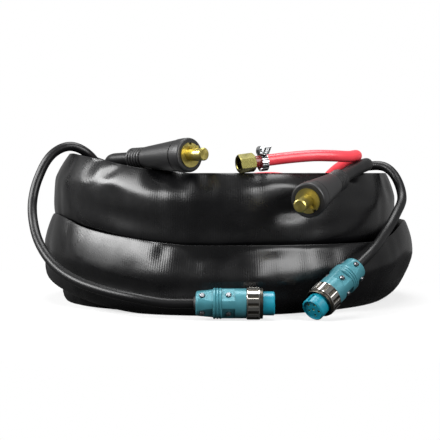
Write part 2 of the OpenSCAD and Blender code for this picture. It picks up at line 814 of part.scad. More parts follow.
module hose_tail() {
    barb_pitch = (stem_length - plain_stem) / barb_count;
    color([0.7, 0.57, 0.28]) difference() {
        rotate_extrude() polygon(concat(
            [[0, -stem_length], [hose_bore / 2 - stem_draft, -stem_length]],
            [for (i = [0:barb_count - 1], corner = [0, 1])
                [hose_bore / 2 - slip_fit - corner * barb_depth,
                 -stem_length + barb_pitch * (i + 1) + corner * barb_slope]],
            [[hose_bore / 2 - slip_fit - barb_depth, 0],
             [tail_neck_d / 2, 0],
             [tail_neck_d / 2, head_back],
             [head_d / 2, head_back],
             [head_d / 2, head_back + head_t],
             [head_d / 2 - nose_draft, head_back + head_t + nose_length],
             [0, head_back + head_t + nose_length]]));
        translate([0, 0, -stem_length - 1])
            cylinder(d = tail_bore, h = stem_length + nut_front + 2);
    }
}

module union_nut() {
    nut_corners = nut_flats / cos(30);
    color([0.74, 0.58, 0.3]) difference() {
        intersection() {
            translate([0, 0, nut_back]) cylinder(d = nut_corners, h = nut_length, $fn = 6);
            translate([0, 0, nut_back]) rotate_extrude() polygon([
                [0, 0], [nut_flats / 2, 0], [nut_corners / 2 + nut_crown, nut_edge],
                [nut_corners / 2 + nut_crown, nut_length - nut_edge],
                [nut_flats / 2, nut_length], [0, nut_length]]);
        }
        cylinder(d = tail_neck_d + 2 * running_fit, h = nut_length);
        translate([0, 0, nut_back + nut_floor]) {
            cylinder(d = nut_bore + thread_relief, h = head_t + nose_length + 2 * face_gap);
            cylinder(d = nut_bore, h = nut_length);
        }
        translate([0, 0, nut_front - thread_edge])
            cylinder(d1 = nut_bore, d2 = nut_bore + 2, h = 1);
    }
}

module clamp_band() {
    color([0.62, 0.63, 0.64]) translate([-band_drop, 0, band_back]) {
        difference() {
            union() {
                cylinder(d = band_bore + 2 * band_t, h = band_width);
                translate([band_bore / 2, -band_run, 0])
                    cube([2 * band_t, band_run + housing_length / 2, band_width]);
                translate([band_bore / 2 + band_t, -band_run, 0]) rotate(band_turn_up)
                    translate([0, -band_tail, 0])
                        cube([band_t, band_tail + band_t / 2, band_width]);
            }
            translate([0, 0, -1]) cylinder(d = band_bore, h = band_width + 2);
            translate([band_bore / 2 + band_t, -band_run, 0]) rotate(band_turn_up)
                for (y = [-slot_pitch:-slot_pitch:slot_pitch - band_tail])
                    translate([-1, y - slot_w, (band_width - slot_length) / 2])
                        cube([band_t + 2, slot_w, slot_length]);
        }
    }
}

module clamp_housing() {
    color([0.8, 0.81, 0.82])
        translate([0, -housing_length / 2, band_back + band_width / 2])
            difference() {
                union() {
                    translate([worm_x, 0, 0]) rotate([-90, 0, 0])
                        cylinder(d = barrel_d, h = housing_length);
                    translate([band_top + band_t + face_gap, 0, -band_width / 2 - housing_cheek])
                        cube([barrel_d / 2, housing_length, band_width + 2 * housing_cheek]);
                }
                translate([worm_x, -1, 0]) rotate([-90, 0, 0])
                    cylinder(d = worm_d + 2 * running_fit, h = housing_length + 2);
            }
}

module clamp_screw() {
    color([0.86, 0.87, 0.88])
        translate([worm_x, -housing_length / 2, band_back + band_width / 2])
            rotate([90, 0, 0]) difference() {
                union() {
                    translate([0, 0, -housing_length - worm_end])
                        cylinder(d = worm_d, h = housing_length + worm_end + 2 * face_gap);
                    translate([0, 0, face_gap])
                        cylinder(d = worm_head, h = worm_head_t, $fn = 6);
                }
                translate([-worm_slot_w / 2, -worm_head, worm_head_t - worm_slot_depth])
                    cube([worm_slot_w, 2 * worm_head, worm_slot_depth + 1]);
            }
}

module hose_tail_left() at(gas_left) hose_tail();
module hose_tail_right() at(gas_right) hose_tail();
module union_nut_left() at(gas_left) union_nut();
module union_nut_right() at(gas_right) union_nut();
module clamp_band_left() at(gas_left) clamp_band();
module clamp_band_right() at(gas_right) clamp_band();
module clamp_housing_left() at(gas_left) clamp_housing();
module clamp_housing_right() at(gas_right) clamp_housing();
module clamp_screw_left() at(gas_left) clamp_screw();
module clamp_screw_right() at(gas_right) clamp_screw();

sheath();
power_cable_left();
power_cable_right();
control_cable_left();
control_cable_right();
gas_hose_left();
gas_hose_right();
plug_sleeve_left();
plug_sleeve_right();
plug_contact_left();
plug_contact_right();
conductor_ferrule_left();
conductor_ferrule_right();
plug_screws_left();
plug_screws_right();
backshell_left();
backshell_right();
cable_grommet_left();
cable_grommet_right();
lock_ring_left();
lock_ring_right();
front_shell_left();
front_shell_right();
coupling_ring_left();
coupling_ring_right();
contact_insert_left();
contact_insert_right();
contact_pins_left();
contact_pins_right();
shell_screws_left();
shell_screws_right();
hose_tail_left();
hose_tail_right();
union_nut_left();
union_nut_right();
clamp_band_left();
clamp_band_right();
clamp_housing_left();
clamp_housing_right();
clamp_screw_left();
clamp_screw_right();
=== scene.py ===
import bpy
import math
import numpy as np
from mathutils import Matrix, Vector, noise


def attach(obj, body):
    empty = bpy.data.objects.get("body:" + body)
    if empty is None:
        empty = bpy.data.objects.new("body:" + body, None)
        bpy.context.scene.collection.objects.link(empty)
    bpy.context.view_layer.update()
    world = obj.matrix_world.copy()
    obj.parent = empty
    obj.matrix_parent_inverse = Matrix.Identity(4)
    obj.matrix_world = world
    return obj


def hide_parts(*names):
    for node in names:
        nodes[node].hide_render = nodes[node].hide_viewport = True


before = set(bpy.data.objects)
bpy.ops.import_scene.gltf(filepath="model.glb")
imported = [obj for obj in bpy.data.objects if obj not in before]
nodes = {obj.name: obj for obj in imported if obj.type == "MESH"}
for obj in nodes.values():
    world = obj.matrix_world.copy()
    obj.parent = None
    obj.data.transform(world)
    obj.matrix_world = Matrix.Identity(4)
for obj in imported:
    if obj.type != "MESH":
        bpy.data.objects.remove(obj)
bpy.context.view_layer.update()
scene = bpy.context.scene
scene.view_settings.view_transform = "Standard"

# ---- Camera ----
# It stands level with the coil's upper rim, 1.43 m in front of the coil's middle, and
# looks down a little. LENS_PX is the lens's length in pixels, and AXIS_PX is the pixel
# at which a level line straight to the back is seen.

MM = 0.001

# Where the coil's middle stands in the row frame
COIL_MID = Vector((5.11, 28.71, 0.0)) * MM
CAMERA_REACH = 1427 * MM
CAMERA_HEIGHT = 145 * MM
LENS_PX = 1210
FRAME_PX = 440
AXIS_PX = (227.5, 173.0)

camera = bpy.data.objects.new("camera", bpy.data.cameras.new("camera"))
scene.collection.objects.link(camera)
camera.data.angle = 2 * math.atan(FRAME_PX / 2 / LENS_PX)
camera.location = COIL_MID + Vector((0, -CAMERA_REACH, CAMERA_HEIGHT))
turn_left = math.atan((AXIS_PX[0] - FRAME_PX / 2) / LENS_PX)
look_down = math.atan((FRAME_PX / 2 - AXIS_PX[1]) / LENS_PX)
camera.rotation_euler = (math.pi / 2 - look_down, 0, turn_left)
camera.data.clip_start = 50 * MM
scene.camera = camera

# ---- Sheath ----
# The flat sleeve that holds all three lines: extruded soft PVC with fine ribs
# across its length, 72 mm wide and about 5 m long. It stands on its edge and is
# coiled in two tiers, outward on the floor and inward on top.

# Up to the floor's section, sizes are in millimetres, and places are counted from the
# coil's middle. The sheath is set FLOOR_CUT low, so that its lowest edge lies flat.
SHEATH_HEIGHT = 72.0
SHEATH_WALL = 1.5
MOUTH_DEPTH = 12.0
FLOOR_CUT = 0.5
END_RUN = 24.0
END_STEPS = 6
COIL_RADIUS = 203.5
TIER_INSET = 15.1
UPPER_RADIUS = COIL_RADIUS - TIER_INSET
TURN_PITCH = 24.0
TIER_GAP = 1.0
TIER_STEP = SHEATH_HEIGHT + TIER_GAP
RIM_LIFT = 22.0
TIER_SLIDE = 15.0
LOWER_MID_X = 5.0
END_LEAN = 10.0
LEAN_TURNS = 0.17
HEADING_TURNS = 1 / 24
STEPS_PER_TURN = 288
SECTION_POINTS = 56
UP = Vector((0, 0, 1))

# Places along the sheath are counts of turns, clockwise seen from above: a whole count
# is at the front, and a quarter, a half and three quarters more are at the left, the
# back and the right. The sheath leaves the floor at CLIMB_START, and is wholly on the
# upper tier from INSET_END.
FIRST_TURN = 10 / 24
LAST_TURN = 111 / 24
CLIMB_START = 2.06
CLIMB_PAUSE = 2.22
CLIMB_RISE = 2.3
CLIMB_TOP = 2.56
INSET_END = 2.75
LIFT_TURNS = (3.04, 3.19, 3.31, 3.42)


def ease(low, high, value):
    """Rises from 0 at low to 1 at high, softly at both ends."""
    share = min(1.0, max(0.0, (value - low) / (high - low)))
    return share * share * (3 - 2 * share)


def between(stops, value):
    """Rises from 0 to 1 between the first two stops, and falls back between the last two."""
    rise, full, fall, gone = stops
    return ease(rise, full, value) - ease(fall, gone, value)


def hump(middle, reach, value):
    """1 in the middle, fading to both sides over a reach."""
    return math.exp(-((value - middle) / reach) ** 2)


def blend(low, high, share):
    """Value at a share of the way from low to high."""
    return low + (high - low) * share


def climb_z(turns):
    """Height of the sheath's lowest edge at a count of turns. On the upper tier it is
    lifted once more at the left, over the climb below it."""
    if turns >= INSET_END:
        return TIER_STEP + RIM_LIFT * between(LIFT_TURNS, turns)
    pause = (RIM_LIFT - TIER_GAP) * ease(CLIMB_START, CLIMB_PAUSE, turns)
    return blend(pause, TIER_STEP, ease(CLIMB_RISE, CLIMB_TOP, turns))


def coil_r(turns):
    """Radius of the sheath's middle line at a count of turns. Both ends lean inward."""
    lean = END_LEAN * (1 - ease(FIRST_TURN, FIRST_TURN + LEAN_TURNS, turns)
                       + ease(LAST_TURN - LEAN_TURNS, LAST_TURN, turns))
    lower = COIL_RADIUS + TURN_PITCH * (turns - 2)
    upper = UPPER_RADIUS - TURN_PITCH * (turns - 3)
    return blend(lower, upper, ease(CLIMB_TOP, INSET_END, turns)) - lean


def outward(turns):
    """Direction away from the coil's middle."""
    angle = -2 * math.pi * turns
    return Vector((math.sin(angle), -math.cos(angle), 0))


def coil_point(turns):
    """Point under the sheath's middle line, in millimetres from the coil's middle."""
    height = climb_z(turns)
    mid = Vector((LOWER_MID_X - TIER_SLIDE * height / TIER_STEP, 0, height))
    return mid + coil_r(turns) * outward(turns)


def end_heading(turns, step):
    """Level direction in which a straight end leaves the coil."""
    way = coil_point(turns) - coil_point(turns - step)
    return Vector((way.x, way.y, 0)).normalized()


left_out = end_heading(FIRST_TURN, -HEADING_TURNS)
right_out = end_heading(LAST_TURN, HEADING_TURNS)
left_end = coil_point(FIRST_TURN) + END_RUN * left_out
right_end = coil_point(LAST_TURN) + END_RUN * right_out
left_side = left_out.cross(UP)
right_side = -right_out.cross(UP)


def sheath_stations():
    """Points and outer sides along the sheath, with both straight ends."""
    runs = [END_RUN * k / END_STEPS for k in range(1, END_STEPS + 1)]
    left = [(coil_point(FIRST_TURN) + run * left_out, left_side) for run in reversed(runs)]
    right = [(coil_point(LAST_TURN) + run * right_out, right_side) for run in runs]
    count = round((LAST_TURN - FIRST_TURN) * STEPS_PER_TURN)
    turns = [FIRST_TURN + (LAST_TURN - FIRST_TURN) * k / count for k in range(count + 1)]
    return left + [(coil_point(t), outward(t)) for t in turns] + right


# The sheath's sides from the lower edge to the upper one: height and half thickness.
# The inner side is evenly full. The outer one has a shoulder above the power cable,
# from which it slopes to a sharp upper fold; the shoulder's height wanders. On the
# upper tier, from ROLL_TURNS on, the lines' weight has rolled the lower edge out fuller.
INNER_SIDE = [(0, 2.4), (3, 5.6), (8, 8.3), (15, 10.2), (24, 10.9), (34, 11.0), (44, 10.6),
              (53, 9.2), (61, 6.4), (67, 3.3), (70, 1.5), (72, 0.4)]
BELOW_SHOULDER = [(0, 2.4), (3, 5.8), (8, 8.5), (14, 9.9), (20, 10.5), (27, 10.3), (35, 10.8)]
ROLLED_EDGE = [(0, 6.4), (1.5, 8.2), (4, 9.5), (9, 10.3), (16, 10.7), (27, 10.6), (35, 10.9)]
SHOULDER = 43.0
OVER_SHOULDER = [(0, 11.0), (3, 10.7), (8, 9.4), (14, 7.5), (20, 5.2), (25, 2.9), (27.5, 1.6),
                 (29, 0.4)]
ROLL_TURNS = (2.7, 2.8)

# The bore's least half thickness, and how many wall thicknesses it stays above the
# lower edge and below the upper fold
LEAST_HALF = 0.2
WALLS_BELOW = 1.6
WALLS_ABOVE = 3


def along_knots(up, knots):
    """Value at a height, read between knots of height and value."""
    return float(np.interp(up, [k[0] for k in knots], [k[1] for k in knots]))


def outer_knots(shoulder, rolled):
    """Knots of the outer side, for a shoulder's height and a share of rolled edge."""
    below = [(h, blend(along_knots(h, BELOW_SHOULDER), full, rolled)) for h, full in ROLLED_EDGE]
    grow = (SHEATH_HEIGHT - shoulder) / (SHEATH_HEIGHT - SHOULDER)
    return below + [(shoulder + h * grow, w) for h, w in OVER_SHOULDER]


def sheath_section(thin, shoulder=SHOULDER, rolled=0.0):
    """Offsets sideways and upward round the section, drawn in by a wall's thickness."""
    half = SECTION_POINTS // 2
    shape = []
    for side, knots in ((1, outer_knots(shoulder, rolled)), (-1, INNER_SIDE)):
        for k in range(half):
            share = (1 - math.cos(math.pi * (k + 0.5) / half)) / 2
            up = blend(WALLS_BELOW * thin, SHEATH_HEIGHT - WALLS_ABOVE * thin,
                       share if side > 0 else 1 - share)
            shape.append((side * max(LEAST_HALF, along_knots(up, knots) - thin), up))
    return shape


# Slow waves and short folds in the faces: length, height, depth and layer of the noise
WAVES = [(60, 45, 1.2, 2.0), (17, 70, 1.0, 7.0)]

# Dents that handling and the tails have pressed into the outer face: turn count,
# height, half length, half height, slant (rise over run) and depth. Each tier's go
# round its front from left to right.
DENTS = [
    # upper tier
    (3.21, 50, 16, 16, -0.2, 2.4), (3.17, 60, 12, 14, 0.3, 2.2), (3.128, 65, 9, 12, 0.4, 1.8),
    (3.103, 62, 13, 5.5, 0.64, 2.8), (3.082, 20, 55, 9, -0.05, 1.2), (3.008, 68, 8, 12, 0.0, 2.8),
    (3.00, 14, 40, 8, 0.0, 1.4), (2.967, 70, 8, 10, 0.0, 1.5), (2.935, 33, 24, 9, 0.0, 2.8),
    (2.925, 64, 18, 14, 0.0, 1.0), (2.91, 16, 34, 8, 0.1, 1.2), (2.870, 46, 50, 6, -0.04, 1.8),
    (2.864, 67, 11, 6, 0.1, 3.8), (2.80, 56, 14, 14, 0.3, 2.6),
    # lower tier
    (2.20, 36, 18, 16, 0.2, 2.2), (2.16, 56, 9, 16, -0.4, 1.4), (2.10, 26, 60, 8, -0.06, 2.0),
    (2.057, 62, 8, 9, 0.2, 1.7), (2.030, 58, 9, 16, 0.0, 1.6), (2.022, 54, 45, 22, 0.0, 6.0),
    (2.02, 27, 60, 9, 0.0, 2.0), (2.005, 62, 14, 12, 0.1, 1.8), (1.990, 66, 40, 7, 0.0, 1.6),
    (1.94, 25, 55, 9, 0.03, 2.0), (1.935, 78, 70, 16, 0.0, 2.6), (1.915, 60, 20, 12, 0.1, 1.2),
    (1.88, 52, 24, 9, 0.1, 1.8), (1.82, 40, 26, 12, 0.2, 2.2)]

# How fast a dent fades along its length, and where it ends, in half lengths
DENT_FADE = 1.3
DENT_END = 2.2

# How far the shoulder wanders, and how often. It also lies higher in two places on the
# upper tier and lower in two on the lower tier: turn count, reach in turns and rise.
SHOULDER_WANDER = 5
WANDERS_PER_TURN = 9
SHOULDER_SHIFTS = [(3.105, 0.036, 10), (2.945, 0.04, 15), (1.945, 0.06, -17),
                   (2.095, 0.04, -7)]


def shoulder_height(turns):
    """Height of the outer side's shoulder at a count of turns."""
    wander = noise.noise(Vector((turns * WANDERS_PER_TURN, 4.0, 1.0)))
    shift = sum(rise * hump(middle, reach, turns) for middle, reach, rise in SHOULDER_SHIFTS)
    return SHOULDER + shift + SHOULDER_WANDER * wander


def crease(turns, along, up):
    """How far waves, folds and dents draw a face in at a place."""
    depth = 0.0
    for length, height, deep, layer in WAVES:
        wave = noise.noise(Vector((along / length, up / height, layer)))
        depth += deep * max(0.0, wave)
    radius = coil_r(turns)
    for middle, height, reach, tall, slant, deep in DENTS:
        run = (turns - middle) * 2 * math.pi * radius
        if abs(run) < DENT_END * reach:
            span = (up - height + slant * run) / tall
            depth += deep * math.exp(-DENT_FADE * (run / reach) ** 2 - span * span)
    return depth


# Where the left plug's tail has folded the upper rim in: turn count, half length, the
# share of it over which the fold is full, lowest height, depth, and how sharply it bends
FOLD_TURN = 3.044
FOLD_REACH = 31.0
FOLD_CORE = 0.35
FOLD_HEIGHT = 53.0
FOLD_DEPTH = 11.0
FOLD_BEND = 1.15


def folded_in(turns, up):
    """How far the fold takes the rim in at a place."""
    run = abs(turns - FOLD_TURN) * 2 * math.pi * coil_r(turns)
    share = max(0.0, (up - FOLD_HEIGHT) / (SHEATH_HEIGHT - FOLD_HEIGHT))
    return FOLD_DEPTH * (1 - ease(FOLD_CORE, 1.0, run / FOLD_REACH)) * share ** FOLD_BEND


# Where and how far the sheath leans. TURNS are the counts at which a lean starts and is
# full, and where there are four, starts to fade and is gone. A WAY is the side on which
# it is strongest.
PRESSED_IN = 5.5
PRESSED_TURNS = (1.9, 2.0, 3.5, 3.7)
FOOT_DRAWN_IN = 27.0
DRAWN_WAY = Vector((0.9, -0.43, 0))
FOOT_FLARE = 9.0
FLARE_WAY = Vector((-0.87, -0.5, 0))
FLARE_TURNS = (0.95, 1.05, 1.3, 1.4)
SIDE_BULGE = 5.0
BULGE_HEIGHT = 56
BULGE_REACH = 32
BULGE_TURNS = (1.3, 1.5)
RIM_LEAN = 1.5
RIM_LEAN_LEFT = 6.0
RIM_LEAN_TURNS = (INSET_END, 2.9)


def lean_in(turns, up):
    """How far the sheath leans in at a place. Both tiers are pressed in at the left.
    The lower one's foot is drawn in and its side bulges at the right, and at the left
    the turn inside flares out at its foot. The upper one's rim leans in, most at the
    left."""
    side = outward(turns)
    to_left, to_right = max(0.0, -side.x), max(0.0, side.x)
    share = up / SHEATH_HEIGHT
    pressed = PRESSED_IN * to_left ** 3 * between(PRESSED_TURNS, turns)
    if turns < CLIMB_START:
        drawn = FOOT_DRAWN_IN * max(0.0, side.dot(DRAWN_WAY)) ** 2 * (1 - share) ** 2.4
        flare = FOOT_FLARE * max(0.0, side.dot(FLARE_WAY)) ** 6 * (1 - share) ** 2
        flare *= between(FLARE_TURNS, turns)
        bulge = SIDE_BULGE * to_right ** 4 * hump(BULGE_HEIGHT, BULGE_REACH, up)
        bulge *= ease(*BULGE_TURNS, turns)
        return pressed + drawn - bulge - flare
    leaning = ease(*RIM_LEAN_TURNS, turns) * (RIM_LEAN + RIM_LEAN_LEFT * to_left ** 2)
    return pressed + leaning * share ** 3 + folded_in(turns, up)


# At the left, in two steps, and at the right, the lower tier's upper fold stands up
# outside the tier above: height and turn counts. At the front, the upper tier's soft
# edge settles between two turns below it, and its rim stands up to the left plug.
FOLD_STANDS = [(5.0, (2.03, 2.09, 2.19, 2.28)), (3.0, (2.13, 2.18, 2.19, 2.28)),
               (19.0, (1.62, 1.70, 1.79, 1.86))]
EDGE_SETTLES = 3.0
EDGE_HEIGHT = 24
EDGE_TURNS = (2.86, 2.93, 3.02, 3.10)
RIM_STANDS = 0.6
PLUG_RIM_STANDS = 2.8
PLUG_RIM_TURNS = (3.026, 3.046, 3.11, 3.16)


def settle(turns, up):
    """How far a place sinks; where it stands up, the answer is negative."""
    share = up / SHEATH_HEIGHT
    if turns < CLIMB_RISE:
        stands = sum(height * between(stops, turns) for height, stops in FOLD_STANDS)
        return -stands * share ** 2
    settles = EDGE_SETTLES * between(EDGE_TURNS, turns)
    stands = RIM_STANDS + PLUG_RIM_STANDS * between(PLUG_RIM_TURNS, turns)
    return settles * max(0.0, 1 - up / EDGE_HEIGHT) ** 2 - stands * share ** 3


# All this fades out over some stations at each end. The inner face has weaker creases
# than the outer one, read further on so that the two differ.
FREE_STATIONS = 30
INNER_CREASE = 0.5
FURTHER_TURNS = 9
FURTHER_RUN = 900


def sheath_sides(stations, runs):
    """Points round each station, and each point's run and height along the sheath."""
    last = len(stations) - 1
    points, spots = [], []
    for index, (point, side) in enumerate(stations):
        share = min(1.0, max(0.0, (index - END_STEPS) / (last - 2 * END_STEPS)))
        turns = blend(FIRST_TURN, LAST_TURN, share)
        run = runs[index]
        free = min(1.0, min(index, last - index) / FREE_STATIONS)
        shoulder = blend(SHOULDER, shoulder_height(turns), free)
        for wide, up in sheath_section(0.0, shoulder, free * ease(*ROLL_TURNS, turns)):
            if wide > 0:
                wide -= min(wide, free * crease(turns, run, up))
            else:
                depth = crease(turns + FURTHER_TURNS, run + FURTHER_RUN, up)
                wide += min(-wide, INNER_CREASE * free * depth)
            wide -= free * lean_in(turns, up)
            rise = max(up - FLOOR_CUT - settle(turns, up), -point.z)
            points.append(point + wide * side + Vector((0, 0, rise)))
            spots.append((run, up))
    return points, spots


def sheath_mesh():
    """The sheath's sides and its two open mouths: points, faces, each point's run and
    height along the sheath, and the stations."""
    stations = sheath_stations()
    runs = [0.0]
    for (a, _), (b, _) in zip(stations, stations[1:]):
        runs.append(runs[-1] + (b - a).length)
    last = len(stations) - 1
    points, spots = sheath_sides(stations, runs)
    ring = SECTION_POINTS
    faces = [(i * ring + k, i * ring + (k + 1) % ring,
              (i + 1) * ring + (k + 1) % ring, (i + 1) * ring + k)
             for i in range(last) for k in range(ring)]
    ends = ((0, left_end, left_out, left_side, 1),
            (last, right_end, right_out, right_side, -1))
    for index, end, out, side, order in ends:
        rim = [index * ring + k for k in range(ring)]
        for depth in (0.0, MOUTH_DEPTH):
            inner = len(points)
            for wide, up in sheath_section(SHEATH_WALL):
                points.append(end - depth * out + wide * side + Vector((0, 0, up - FLOOR_CUT)))
                spots.append((runs[index] - order * depth, up))
            for k in range(ring):
                quad = (rim[k], inner + k, inner + (k + 1) % ring, rim[(k + 1) % ring])
                faces.append(quad if order < 0 else quad[::-1])
            rim = [inner + k for k in range(ring)]
        faces.append(tuple(rim) if order < 0 else tuple(rim[::-1]))
    return points, faces, spots, stations


sheath_points, sheath_faces, sheath_spots, sheath_path = sheath_mesh()


def new_piece(name, points, faces):
    """A smooth mesh piece whose points are given in metres in the row frame."""
    mesh = bpy.data.meshes.new(name)
    mesh.from_pydata([tuple(p) for p in points], [], faces)
    mesh.update()
    for face in mesh.polygons:
        face.use_smooth = True
    piece = bpy.data.objects.new(name, mesh)
    scene.collection.objects.link(piece)
    return piece


def to_row(point):
    """Takes millimetres from the coil's middle to metres in the row frame."""
    return COIL_MID + Vector(point) * MM


sheath = new_piece("ribbed_sheath", [to_row(p) for p in sheath_points], sheath_faces)
sheath_uv = sheath.data.uv_layers.new(name="run_and_height")
for loop in sheath.data.loops:
    along, up = sheath_spots[loop.vertex_index]
    sheath_uv.data[loop.index].uv = (along * MM, up * MM)


def linear(code):
    """Turns an sRGB hex colour to the linear colour that shaders take."""
    channels = [int(code[i:i + 2], 16) / 255 for i in (0, 2, 4)]
    return tuple([c / 12.92 if c <= 0.04045 else ((c + 0.055) / 1.055) ** 2.4
                  for c in channels] + [1.0])


def add(tree, kind, inputs=None, **settings):
    """Adds a shader node; inputs are values, or the sockets that feed them."""
    made = tree.nodes.new("ShaderNode" + kind)
    for name, value in settings.items():
        setattr(made, name, value)
    for name, value in (inputs or {}).items():
        if isinstance(value, bpy.types.NodeSocket):
            tree.links.new(value, made.inputs[name])
        else:
            made.inputs[name].default_value = value
    return made


def new_material(name, **sockets):
    """A material with its Principled shader's own sockets set; returns it with both."""
    material = bpy.data.materials.new(name)
    material.use_nodes = True
    shader = material.node_tree.nodes["Principled BSDF"]
    for socket, value in sockets.items():
        shader.inputs[socket.replace("_", " ")].default_value = value
    return material, material.node_tree, shader


def feed(tree, shader, **sockets):
    """Links outputs to a shader's sockets of the same names."""
    for socket, source in sockets.items():
        tree.links.new(source, shader.inputs[socket.replace("_", " ")])


def soft_pvc():
    """Extruded soft PVC: a black satin skin whose gloss is broken by fine cross ribs.
    The ribs are drawn 2.4 mm apart, coarser than the real ones, so that they show."""
    rib_pitch = 2.4 * MM
    material, tree, shader = new_material("soft_pvc", Specular_IOR_Level=0.46, IOR=1.5)
    place = add(tree, "UVMap", uv_map="run_and_height").outputs["UV"]
    ribs = add(tree, "TexWave", {"Vector": place, "Scale": 0.1 * math.pi / rib_pitch,
                                 "Distortion": 0.9, "Detail": 2.0},
               wave_type="BANDS", bands_direction="X").outputs["Fac"]
    solid = add(tree, "TexCoord").outputs["Object"]
    cloud = add(tree, "TexNoise", {"Vector": solid, "Scale": 1 / (40 * MM), "Detail": 4.0,
                                   "Roughness": 0.6}).outputs["Fac"]
    scuff = add(tree, "TexNoise", {"Vector": solid, "Scale": 1 / (7 * MM), "Detail": 4.0,
                                   "Roughness": 0.6}).outputs["Fac"]
    tone = add(tree, "MixRGB", {"Fac": cloud, "Color1": linear("030304"),
                                "Color2": linear("0c0c0d")}).outputs["Color"]
    gloss = add(tree, "MapRange", {"Value": cloud, "From Min": 0.3, "From Max": 0.7,
                                   "To Min": 0.22, "To Max": 0.34}).outputs["Result"]
    ribbed = add(tree, "Bump", {"Height": ribs, "Strength": 0.34, "Distance": 0.12 * MM})
    wear_and_painted_highlight = add(tree, "Bump", {"Height": scuff, "Strength": 0.06, "Distance": 0.4 * MM,
                              "Normal": ribbed.outputs["Normal"]}).outputs["Normal"]
    feed(tree, shader, Base_Color=tone, Roughness=gloss, Normal=wear_and_painted_highlight)
    return material


sheath.data.materials.append(soft_pvc())
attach(sheath, "root")
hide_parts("sheath")

# ---- Power cables ----
# Welding cable of about 50 mm2: fine copper strands in a tough rubber jacket,
# 14 mm across. Each runs from the sheath's mouth into the sleeve of its plug.

# A line's SEAT is its height in the sheath's mouth, from which it comes out straight
# over MOUTH_RUN. Its RUN_IN is the straight stretch to its fitting's place, and its
# DEPTH is how far it goes past that place.
POWER_DIAMETER = 14.0
POWER_SEAT = 35.8
POWER_RUN_IN = 28
POWER_DEPTH = 50.0
MOUTH_RUN = 28
RIM_Z = TIER_STEP + SHEATH_HEIGHT


def beside(angle, reach, z):
    """Point at an angle round the coil, in degrees anticlockwise from the right, and a
    reach beyond its radius."""
    turn = math.radians(angle)
    return Vector(((COIL_RADIUS + reach) * math.cos(turn),
                   (COIL_RADIUS + reach) * math.sin(turn), z))


# A fitting's place is the point where its line enters it, and the way it faces
PLUG_LEFT = (beside(-126, -32.5, RIM_Z + 15.4), (0.68, -0.73, 0.03))
PLUG_RIGHT = (beside(-57.5, 10.3, RIM_Z - 7), (-0.41, -0.887, -0.215))

# For each end: the sheath's end and its way out, the fitting's place, and the points
# through which the line lies between them
POWER_ROUTES = {
    "left": (left_end, left_out, PLUG_LEFT, [
        (-128, 62, 50), (-134, 30, 64), (-136, -2, 86), (-134, -32, 110),
        (-132, -62, 136), (-130, -89, 153.5)]),
    "right": (right_end, right_out, PLUG_RIGHT, [
        (128, 46, 111), (129, 16, 117), (128, -12, 125), (130, -37, 138), (141, -58, 150.5),
        (151, -82, 154), (151, -107, 154), (140.5, -129, 150.4)])}


def ahead(place, length):
    """Point at a length ahead of a fitting's place."""
    return Vector(place[0]) + length * Vector(place[1]).normalized()


def full_route(end, out, seat, points, place, run_in, depth):
    """A line's whole route, in metres, from the bottom of the mouth into its fitting."""
    start = end - MOUTH_DEPTH * out + Vector((0, 0, seat - FLOOR_CUT))
    inner = [start, start + MOUTH_RUN * out]
    return [to_row(p) for p in
            inner + [Vector(p) for p in points] + [ahead(place, -run_in), ahead(place, depth)]]


def line_curve(name, route, diameter):
    """A round line as one smooth spline through its route's points."""
    curve = bpy.data.curves.new(name, "CURVE")
    curve.dimensions = "3D"
    curve.resolution_u = 16
    curve.bevel_depth = diameter / 2 * MM
    curve.bevel_resolution = 10
    curve.use_fill_caps = True
    spline = curve.splines.new("BEZIER")
    spline.bezier_points.add(len(route) - 1)
    for index, (knot, point) in enumerate(zip(spline.bezier_points, route)):
        ahead_point = route[min(index + 1, len(route) - 1)]
        behind_point = route[max(index - 1, 0)]
        way = (ahead_point - behind_point).normalized()
        if index >= len(route) - 2:
            way = (route[-1] - route[-2]).normalized()
        if index <= 1:
            way = (route[1] - route[0]).normalized()
        knot.handle_left_type = knot.handle_right_type = "FREE"
        knot.co = point
        knot.handle_left = point - way * (point - behind_point).length / 3
        knot.handle_right = point + way * (ahead_point - point).length / 3
    piece = bpy.data.objects.new(name, curve)
    scene.collection.objects.link(piece)
    return piece


def black_rubber(name, dark, light, grain, roughness, specular=0.5):
    """Black rubber, or PVC much like it, extruded or moulded: satin, with a powdery
    grain. The grain's width, in millimetres, is coarser than the real one to show."""
    material, tree, shader = new_material(name, Roughness=roughness, IOR=1.52,
                                          Specular_IOR_Level=specular)
    solid = add(tree, "TexCoord").outputs["Object"]
    fine = add(tree, "TexNoise", {"Vector": solid, "Scale": 1 / (grain * MM), "Detail": 4.0,
                                  "Roughness": 0.6}).outputs["Fac"]
    tone = add(tree, "MixRGB", {"Fac": fine, "Color1": linear(dark),
                                "Color2": linear(light)}).outputs["Color"]
    bump = add(tree, "Bump", {"Height": fine, "Strength": 0.25, "Distance": 0.2 * MM})
    feed(tree, shader, Base_Color=tone, Normal=bump.outputs["Normal"])
    return material


power_rubber = black_rubber("cable_rubber", "070708", "111112", 2.0, 0.44, 0.35)
for side, (end, out, place, points) in POWER_ROUTES.items():
    route = full_route(end, out, POWER_SEAT, points, place, POWER_RUN_IN, POWER_DEPTH)
    cable = line_curve(f"power_line_{side}", route, POWER_DIAMETER)
    cable.data.materials.append(power_rubber)
    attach(cable, "root")
    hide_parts(f"power_cable_{side}")

# ---- Control cables ----
# A screened multi-core cable in a smooth PVC jacket, 10.4 mm across. Each runs
# over the rim and down the outside of the coil to its round connector.

CONTROL_DIAMETER = 10.4
CONTROL_SEAT = 20.0
CONTROL_RUN_IN = 22
CONTROL_DEPTH = 14.0

